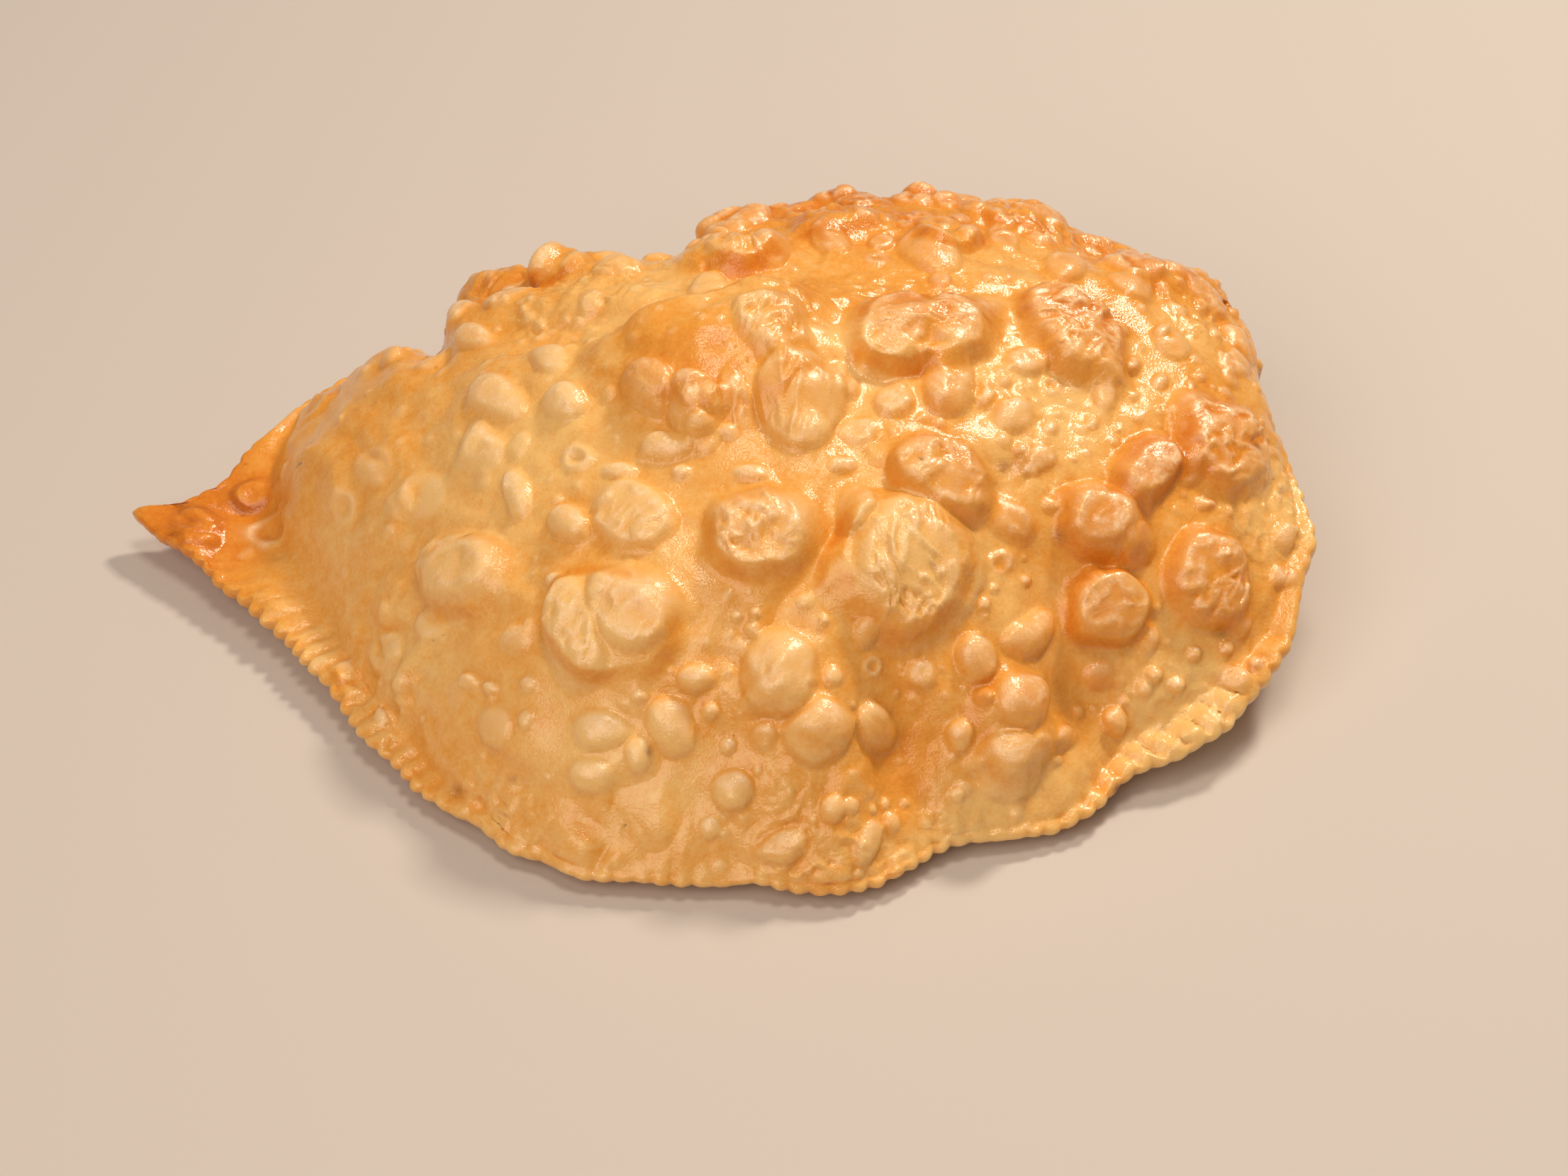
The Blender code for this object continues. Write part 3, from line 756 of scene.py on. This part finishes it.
def blister_layer(dough, blisters):
    """Heights of the blisters, how far each point is inside one, and the wrinkles on them.
    A dome is a power of one less the square of the radius, a flat one is nearly level, both with
    a soft foot of a set width in mm, and a ring is a bell over a part of the radius. The outlines
    wander by dough.bend and the feet get softer and steeper by dough.swing. Where two meet, the
    higher one leads, by the fourth root of a sum of fourth powers."""
    total = np.zeros(len(dough.points))
    cover = np.zeros(len(dough.points))
    crease = np.zeros(len(dough.points))
    for order, (index, width, depth, turn, height, kind, wrinkle, direction) in enumerate(blisters):
        near, u, v = dough.around(index, REACH * width, REACH * depth, turn)
        half = min(width, depth) / 2
        bend = dough.bend[near] * min(1, half / BEND_FULL)
        u = REACH * u + bend[:, 0] * 2 / width
        v = REACH * v + bend[:, 1] * 2 / depth
        power = SQUARENESS[kind]
        radius = (np.abs(u) ** power + np.abs(v) ** power) ** (1 / power)
        inside = np.clip(1 - radius**2, 0, 1)
        foot = np.clip(FOOT[kind] / half, 0.15, 0.6) * dough.swing[near]
        edge = smooth_step(0, foot, 1 - radius)
        if kind == DOME:
            shape = edge * inside**DOME_BLUNTNESS
        elif kind == FLAT:
            shape = edge * (1 - FLAT_CROWN + FLAT_CROWN * inside)
        else:
            shape = np.exp(-(((radius - RING_PLACE) / RING_WIDTH) ** 2))
        total[near] += (height * RISE[kind] * shape) ** 4
        cover[near] = np.maximum(cover[near], smooth_step(0, 0.4, 1 - radius))
        if wrinkle > 0:
            folds = wrinkle * wrinkles(u, v, width, depth, direction, order)
            crease[near] = np.maximum(crease[near], 0) + folds * smooth_step(0, 0.45, 1 - radius)
    return total**0.25, cover, crease


def pad_heights(dough):
    """Heights of the broad pads: nearly level inside a bent ellipse, with a soft step for a
    flank, the higher one leading where two meet, by the cube root of a sum of cubes."""
    total = np.zeros(len(dough.points))
    for x, y, width, depth, turn, height, flank in PADS:
        near, u, v = dough.around(dough.nearest(x, y), REACH * width, REACH * depth, turn)
        u = REACH * u + dough.bend[near, 0] * 2 / width
        v = REACH * v + dough.bend[near, 1] * 2 / depth
        radius = np.hypot(u, v)
        level = 1 - PAD_CROWN * radius**2
        edge = smooth_step(0, flank * dough.swing[near], 1 - radius)
        total[near] += (height * level * edge) ** 3
    return total ** (1 / 3)


def wedge_heights(dough):
    """Heights of the wedges: a soft step up the slope to the crest, a short one down behind it
    and a flank at both ends of the crest."""
    total = np.zeros(len(dough.points))
    for x, y, length, run, turn, height in WEDGES:
        near, u, v = dough.around(dough.nearest(x, y), 2 * length, 2 * length, turn)
        along, across = u * length + dough.bend[near, 0], v * length + dough.bend[near, 1]
        slope = smooth_step(-run, 0, across) * (1 - smooth_step(0, WEDGE_DROP, across))
        total[near] += height * slope * (1 - smooth_step(0.3, 1, np.abs(along) * 2 / length))
    return total


def lump_heights(dough):
    """Lumpy skin: the size of a bent noise, so that round lumps meet in narrow valleys."""
    place = bent(dough.points, 7, 2.5, 51)
    large, small = (np.abs(lattice_noise(place, size, 54)) for size in LUMP_SIZES)
    return strongest_bell(dough.points, LUMPS) * (large + 0.5 * small - 0.4)


def crumple_heights(dough):
    """Crumpled skin: coarse and fine ridges of a bent noise, in a bell round each place, and how
    strong the bells are."""
    weight = strongest_bell(dough.points, CRUMPLES)
    place = bent(dough.points, 5, 2.0, 21)
    coarse, fine = (ridges(place, size, seed) for size, seed in ((3.2, 24), (1.4, 25)))
    return weight * (coarse + 0.5 * fine), weight


def named_blisters(dough):
    """The named blisters with the grid point that each one sits on, and short rows filled up."""
    plain = (DOME, 0, 0)
    return [(dough.nearest(x, y), *(*rest, *plain)[:7]) for x, y, *rest in BLISTERS]


def small_blisters(dough, cover):
    """Seeded places for the small blisters, drawn by area within each crowd, clear of the ones
    before them and mostly off the large ones."""
    draw = np.random.default_rng(SMALL_SEED)
    free = dough.area * (1 - 0.9 * cover)
    rows = []
    taken = np.zeros((0, 4))
    for x, y, z, radius, tries, low, high, share in CROWDS:
        weight = free * bell(dough.points, (x, y, z), radius)
        picks = draw.choice(len(weight), tries, p=weight / weight.sum())
        widths = low * (high / low) ** (draw.uniform(0, 1, tries) ** 1.5)
        for pick, width in zip(picks, widths):
            place = dough.points[pick]
            gap = np.linalg.norm(taken[:, :3] - place, axis=1) - taken[:, 3] - 0.36 * width
            if len(taken) and gap.min() < 0:
                continue
            taken = np.concatenate([taken, [[*place, width / 2]]])
            kind = RING if draw.uniform() < RING_CHANCE else DOME
            rise = share * width * draw.uniform(0.7, 1.2) * (0.5 if kind == RING else 1)
            depth = width * draw.uniform(0.75, 1.3)
            rows.append((pick, width, depth, draw.uniform(0, 180), rise, kind, 0, 0))
    return rows


def crimp(dough):
    """Push the crimped edge out into rounded teeth, raise the flutes that run in from it, and let
    the edge wander. A tooth and a flute are each the absolute value of a sine along the rim."""
    x, y, _, _, _, teeth, flutes = look_up(dough.share, dough.true_rim)
    points = dough.points
    inward = np.hypot(x - points[:, 0], y - points[:, 1])
    rim = np.stack([x, y, 0 * x], -1)
    uneven = np.clip(0.8 + 1.3 * lattice_noise(rim, 8, 41), 0.1, 1.7)
    along = dough.share * dough.length + 1.2 * lattice_noise(rim, 12, 42)
    tangent_x, tangent_y = look_up(dough.share, np.gradient(dough.true_rim[:, :2], axis=0))
    size = np.hypot(tangent_x, tangent_y)
    tooth = np.abs(np.sin(np.pi * along / TOOTH_PITCH)) - TOOTH_MIDDLE
    tooth = tooth * uneven * teeth * (1 - smooth_step(0, TOOTH_REACH, inward))
    near_rim = (teeth > 0) * (1 - smooth_step(0, SWAY_REACH, inward))
    sway = RIM_SWAY * lattice_noise(rim, 8, 44) * near_rim
    wave = RIM_WAVE * lattice_noise(rim, 6, 45) * near_rim
    drift = 0.8 * lattice_noise(points, 7, 43)
    flute = np.abs(np.sin(np.pi * along / FLUTE_PITCH + drift)) - FLUTE_MIDDLE
    flute = flute * flutes * (1 - smooth_step(0.3, 1, inward / FLUTE_REACH))
    flute = np.where(dough.upper, flute * smooth_step(0, 1.5, inward), 0)
    outward = np.stack([tangent_y / size, -tangent_x / size, 0 * size], -1)
    lift = (flute + wave)[:, None] * np.array((0, 0, 1))
    dough.points = points + (tooth + sway)[:, None] * outward + lift
    dough.measure()


def hollowness(dough, steps=4):
    """How far each point lies below the middle of its neighbours a few grid steps away, along
    its normal: about 1 in a crease, -1 on a sharp ridge."""
    grid = dough.layers(dough.points)
    padded = np.concatenate([np.repeat(grid[:1], steps, 0), grid, np.repeat(grid[-1:], steps, 0)])
    centre = grid[1:-1]
    rows = slice(steps + 1, steps + 1 + dough.rows)
    above, below = padded[1 : 1 + dough.rows], padded[2 * steps + 1 : 2 * steps + 1 + dough.rows]
    beside = np.roll(padded[rows], steps, 1) + np.roll(padded[rows], -steps, 1)
    bend = (above + below + beside) / 4 - centre
    reach = np.linalg.norm(above - below, axis=-1) / 2 + 0.3
    depth = (bend.reshape(-1, 3) * dough.normals[:-2]).sum(1) / reach.ravel()
    return np.concatenate([np.clip(depth / 0.25, -1, 1), [0, 0]])


def toasting(dough, cover, flank):
    """How brown each point is: the table of toasted places, browner flanks of the pads, partly
    painted shade, blisters that are browner towards the right end and the back, and faint clouds."""
    total = np.full(len(dough.points), TOAST_START)
    for x, y, z, radius, amount in TOASTS:
        total += amount * bell(dough.points, (x, y, z), radius)
    right = smooth_step(0, 50, dough.points[:, 0] + 0.5 * dough.points[:, 1])
    at_left, at_right = SKIN_TOAST
    # The steep flanks get browner all round: partly browning, partly painted shade
    total += FLANK_BROWNING_AND_SHADE * flank + cover * (1 - flank) * (at_right * right + at_left)
    return np.clip(total + layered_noise(dough.points, MOTTLE_TOAST), 0, 1)


def burns(dough):
    """Dark specks and smears, each a bell over its place."""
    total = np.zeros(len(dough.points))
    for x, y, radius, amount in SPECKS:
        total += amount * bell(dough.points, dough.points[dough.nearest(x, y)], radius)
    return np.clip(total, 0, 1)


def make_dough():
    """The dough's grid with all its layers, and the values that its colours follow."""
    dough = Dough(COLUMNS, UPPER_ROWS, LOWER_ROWS)
    crimp(dough)
    share = dough.relief_share()
    dough.raise_by(share * swell_heights(dough))
    uneven = layered_noise(dough.points, UNEVENNESS)
    bare, smooth = dough.points, dough.normals
    folds, crumpled = crumple_heights(dough)
    broad = share * (pad_heights(dough) + wedge_heights(dough) + uneven + lump_heights(dough))
    rise, cover, crease = blister_layer(dough, named_blisters(dough))
    small_rise, small_cover, _ = blister_layer(dough, small_blisters(dough, cover))
    skin = folds * (1 - 0.6 * cover) + layered_noise(dough.points, SKIN_UNEVENNESS)
    dough.raise_by(broad)
    lean = np.sqrt(np.clip(1 - (dough.normals * smooth).sum(1) ** 2, 0, 1))
    flank = smooth_step(0.2, 0.75, lean)
    height = broad + share * (rise + small_rise + CREASE_SHARE * crease + skin)
    dough.points = bare + smooth * height[:, None]
    dough.measure()
    dough.points[:, 2] = np.maximum(dough.points[:, 2], 0)
    blister = np.maximum(cover, 0.6 * small_cover)
    # The skin value marks the blister tops that face up, where the material paints its highlight
    facing_up = smooth_step(0.3, 0.95, dough.normals[:, 2])
    values = {
        "toast": toasting(dough, blister, flank),
        # hollow also carries the painted shade of the creases and the painted highlight's ridges
        "hollow": hollowness(dough),
        "burn": burns(dough),
        "crumple": np.clip(0.1 + np.maximum(crumpled, np.abs(crease)), 0, 1),
        "skin": blister * (1 - flank) * facing_up,
    }
    return dough, values


def dough_mesh(dough, values):
    """The grid as a mesh with its values as attributes, in metres over the CAD box's middle."""
    count = dough.rows * dough.columns
    row = np.arange(dough.rows - 1)[:, None] * dough.columns
    column = np.arange(dough.columns)[None]
    beside = (column + 1) % dough.columns
    below = row + dough.columns
    quads = np.stack([row + column, below + column, below + beside, row + beside], -1)
    j, k = column[0], beside[0]
    end = (dough.rows - 1) * dough.columns
    top = np.stack([np.full_like(j, count), j, k], -1)
    bottom = np.stack([np.full_like(j, count + 1), end + k, end + j], -1)
    corners = np.concatenate([quads.ravel(), top.ravel(), bottom.ravel()])
    sizes = np.concatenate([np.full(quads.size // 4, 4), np.full(len(top) + len(bottom), 3)])
    mesh = bpy.data.meshes.new("fried_pasty")
    mesh.vertices.add(len(dough.points))
    mesh.loops.add(len(corners))
    mesh.polygons.add(len(sizes))
    low, high = np.array(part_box("cheburek"))
    middle = (dough.points.min(0) + dough.points.max(0)) / 2 * MM
    shift = ((low + high) / 2 - middle) * (1, 1, 0)
    mesh.vertices.foreach_set("co", (dough.points * MM + shift).ravel())
    mesh.loops.foreach_set("vertex_index", corners)
    mesh.polygons.foreach_set("loop_start", np.concatenate([[0], np.cumsum(sizes)[:-1]]))
    for name, value in values.items():
        attribute = mesh.attributes.new(name, "FLOAT", "POINT")
        attribute.data.foreach_set("value", value.astype(np.float32))
    mesh.update(calc_edges=True)
    mesh.validate()
    return mesh


def thinned(mesh):
    """An object of the mesh with fewer faces, kept where the relief needs them."""
    fine = bpy.data.objects.new("fine_dough", mesh)
    bpy.context.scene.collection.objects.link(fine)
    fewer = fine.modifiers.new("fewer_faces", "DECIMATE")
    fewer.ratio = TRIANGLES / (2 * len(mesh.polygons))
    bpy.context.view_layer.update()
    depsgraph = bpy.context.evaluated_depsgraph_get()
    thin = bpy.data.meshes.new_from_object(fine.evaluated_get(depsgraph))
    bpy.data.objects.remove(fine)
    thin.name = "fried_pasty"
    thin.shade_smooth()
    pasty = bpy.data.objects.new("fried_pasty", thin)
    bpy.context.scene.collection.objects.link(pasty)
    return pasty


def add_node(tree, kind, inputs=(), **settings):
    """Add a node with its settings. Its inputs are set, or linked where they are given as a
    socket or as a node, which stands for its first output."""
    node = tree.nodes.new(kind)
    for name, value in settings.items():
        setattr(node, name, value)
    for key, value in dict(inputs).items():
        if isinstance(value, bpy.types.Node):
            value = value.outputs[0]
        if isinstance(value, bpy.types.NodeSocket):
            tree.links.new(value, node.inputs[key])
        else:
            node.inputs[key].default_value = value
    return node


def fried_dough():
    """Deep-fried wheat dough: a thin brittle skin, golden and translucent, with a film of oil.
    The eye gets a warm glow, browner blisters, a painted highlight in specks on the ridges of their
    skins that face up, small sharp highlights and a fine pimply grain."""
    material = bpy.data.materials.new("fried_dough_oiled")
    material.use_nodes = True
    tree = material.node_tree
    shader = tree.nodes["Principled BSDF"]
    place = add_node(tree, "ShaderNodeTexCoord").outputs["Object"]
    toast, hollow, burn, skin, crumple = (
        add_node(tree, "ShaderNodeAttribute", attribute_name=name).outputs["Fac"]
        for name in ("toast", "hollow", "burn", "skin", "crumple")
    )
    # Clouds of 3 mm with specks of 0.8 mm, creases of 1.6 mm and a grain of 0.5 mm. The real
    # grain is about 0.2 mm and is drawn coarser, so that it shows from the camera.
    cloud, speck, creased, grain = (
        add_node(
            tree,
            "ShaderNodeTexNoise",
            {
                "Vector": place,
                "Scale": 1 / (size * MM),
                "Detail": detail,
                "Roughness": roughness,
                "Distortion": distortion,
            },
        ).outputs["Fac"]
        for size, detail, roughness, distortion in (
            (3, 5, 0.6, 0),
            (0.8, 2, 0.5, 0),
            (1.6, 2, 0.5, 0.6),
            (0.5, 2, 0.6, 0),
        )
    )

    clouds = add_node(
        tree, "ShaderNodeMath", {0: speck, 1: 0.6, 2: cloud}, operation="MULTIPLY_ADD"
    )
    mottle = add_node(tree, "ShaderNodeMath", {0: clouds, 1: CLOUD_MIDDLE}, operation="SUBTRACT")
    toasted = add_node(
        tree, "ShaderNodeMath", {0: mottle, 1: CLOUD_TOAST, 2: toast}, operation="MULTIPLY_ADD"
    )
    # Painted shade: darker in the hollows and creases, paler on the sharp ridges
    tone = add_node(
        tree, "ShaderNodeMath", {0: hollow, 1: HOLLOW_SHADE, 2: toasted}, operation="MULTIPLY_ADD"
    )
    crust = add_node(tree, "ShaderNodeValToRGB", {"Fac": tone})
    stops = crust.color_ramp.elements
    stops[0].position, stops[0].color = 0.12, linear(PALE)
    stops[1].position, stops[1].color = 0.95, linear(BROWN)
    for position, shade in ((0.4, GOLDEN), (0.66, AMBER)):
        stops.new(position).color = linear(shade)

    # Painted highlight: specks of a pale colour, only on the ridges of the blister skins that face
    # up
    speckle = add_node(
        tree, "ShaderNodeMapRange", {"Value": clouds, "From Min": 0.72, "From Max": 1.0}
    )
    highlight_specks = add_node(
        tree, "ShaderNodeMath", {0: speckle, 1: 0.7, 2: 0.3}, operation="MULTIPLY_ADD"
    )
    ridge = add_node(
        tree, "ShaderNodeMapRange", {"Value": hollow, "From Min": 0.3, "From Max": -0.4}
    )
    lit_ridges = add_node(tree, "ShaderNodeMath", {0: ridge, 1: skin}, operation="MULTIPLY")
    painted_highlight = add_node(tree, "ShaderNodeMath", {0: highlight_specks, 1: lit_ridges}, operation="MULTIPLY")
    colour = crust.outputs["Color"]
    # Mixes in the painted highlight, then the burnt specks
    for amount, over in ((painted_highlight, PAINTED_HIGHLIGHT), (burn, BURNT)):
        mix = {"Factor": amount, "A": colour, "B": linear(over)}
        colour = add_node(tree, "ShaderNodeMix", mix, data_type="RGBA").outputs["Result"]
    tree.links.new(colour, shader.inputs["Base Color"])

    # The creases run where their noise is at its middle, and are deep in the crumpled places
    centred = add_node(tree, "ShaderNodeMath", {0: creased, 1: 0.5}, operation="SUBTRACT")
    away = add_node(tree, "ShaderNodeMath", {0: centred}, operation="ABSOLUTE")
    creases = add_node(tree, "ShaderNodeMath", {0: away, 1: crumple}, operation="MULTIPLY")
    relief = add_node(
        tree, "ShaderNodeMath", {0: creases, 1: CREASE_DEPTH, 2: grain}, operation="MULTIPLY_ADD"
    )
    bump = add_node(
        tree, "ShaderNodeBump", {"Strength": 0.36, "Distance": 0.3 * MM, "Height": relief}
    )
    tree.links.new(bump.outputs["Normal"], shader.inputs["Normal"])
    tree.links.new(bump.outputs["Normal"], shader.inputs["Coat Normal"])
    # The crust itself is nearly matt, and the gloss is the oil, as a coat
    look = {
        "Roughness": 0.45,
        "IOR": 1.47,
        "Specular IOR Level": 0.15,
        "Coat Weight": 1.0,
        "Coat Roughness": 0.12,
        "Subsurface Weight": 0.08,
        "Subsurface Radius": (1.0, 0.75, 0.3),
        "Subsurface Scale": 3 * MM,
    }
    for name, value in look.items():
        shader.inputs[name].default_value = value
    return material


def pale_floor():
    """Matt painted board, pale and warm, with no pattern."""
    shade, half = FLOOR
    material = bpy.data.materials.new("pale_board_matt")
    material.use_nodes = True
    shader = material.node_tree.nodes["Principled BSDF"]
    shader.inputs["Base Color"].default_value = linear(shade)
    shader.inputs["Roughness"].default_value = 0.7
    mesh = bpy.data.meshes.new("floor")
    corners = [(-half, -half, 0), (half, -half, 0), (half, half, 0), (-half, half, 0)]
    mesh.from_pydata(corners, [], [(0, 1, 2, 3)])
    mesh.materials.append(material)
    floor = bpy.data.objects.new("floor", mesh)
    bpy.context.scene.collection.objects.link(floor)


def set_up(name, data, place, back):
    """A light or camera at a place, looking against the back direction."""
    thing = bpy.data.objects.new(name, data)
    thing.location = place
    thing.rotation_euler = (-back).to_track_quat("-Z", "Y").to_euler()
    bpy.context.scene.collection.objects.link(thing)
    return thing


def studio():
    """Camera at the photograph's angle, a key light from the back right and soft fill."""
    aim = Vector(AIM)
    elevation = np.radians(ELEVATION)
    back = Vector((0, -np.cos(elevation), np.sin(elevation)))
    camera = bpy.data.cameras.new("camera")
    camera.lens = LENS
    camera.sensor_width = SENSOR
    bpy.context.scene.camera = set_up("camera", camera, aim + DISTANCE * back, back)
    for name, place, size, power, colour in LIGHTS:
        light = bpy.data.lights.new(name, "AREA")
        light.size = size
        light.energy = power
        light.color = linear(colour)[:3]
        set_up(name, light, place, Vector(place) - aim)
    world = bpy.data.worlds.new("world")
    world.use_nodes = True
    background = world.node_tree.nodes["Background"]
    sky, strength = SKY
    background.inputs["Color"].default_value = linear(sky)
    background.inputs["Strength"].default_value = strength
    bpy.context.scene.world = world
    bpy.context.scene.view_settings.view_transform = "Standard"


dough, values = make_dough()
pasty = thinned(dough_mesh(dough, values))
pasty.data.materials.append(fried_dough())
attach(pasty, "root")
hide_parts("cheburek")
pale_floor()
studio()
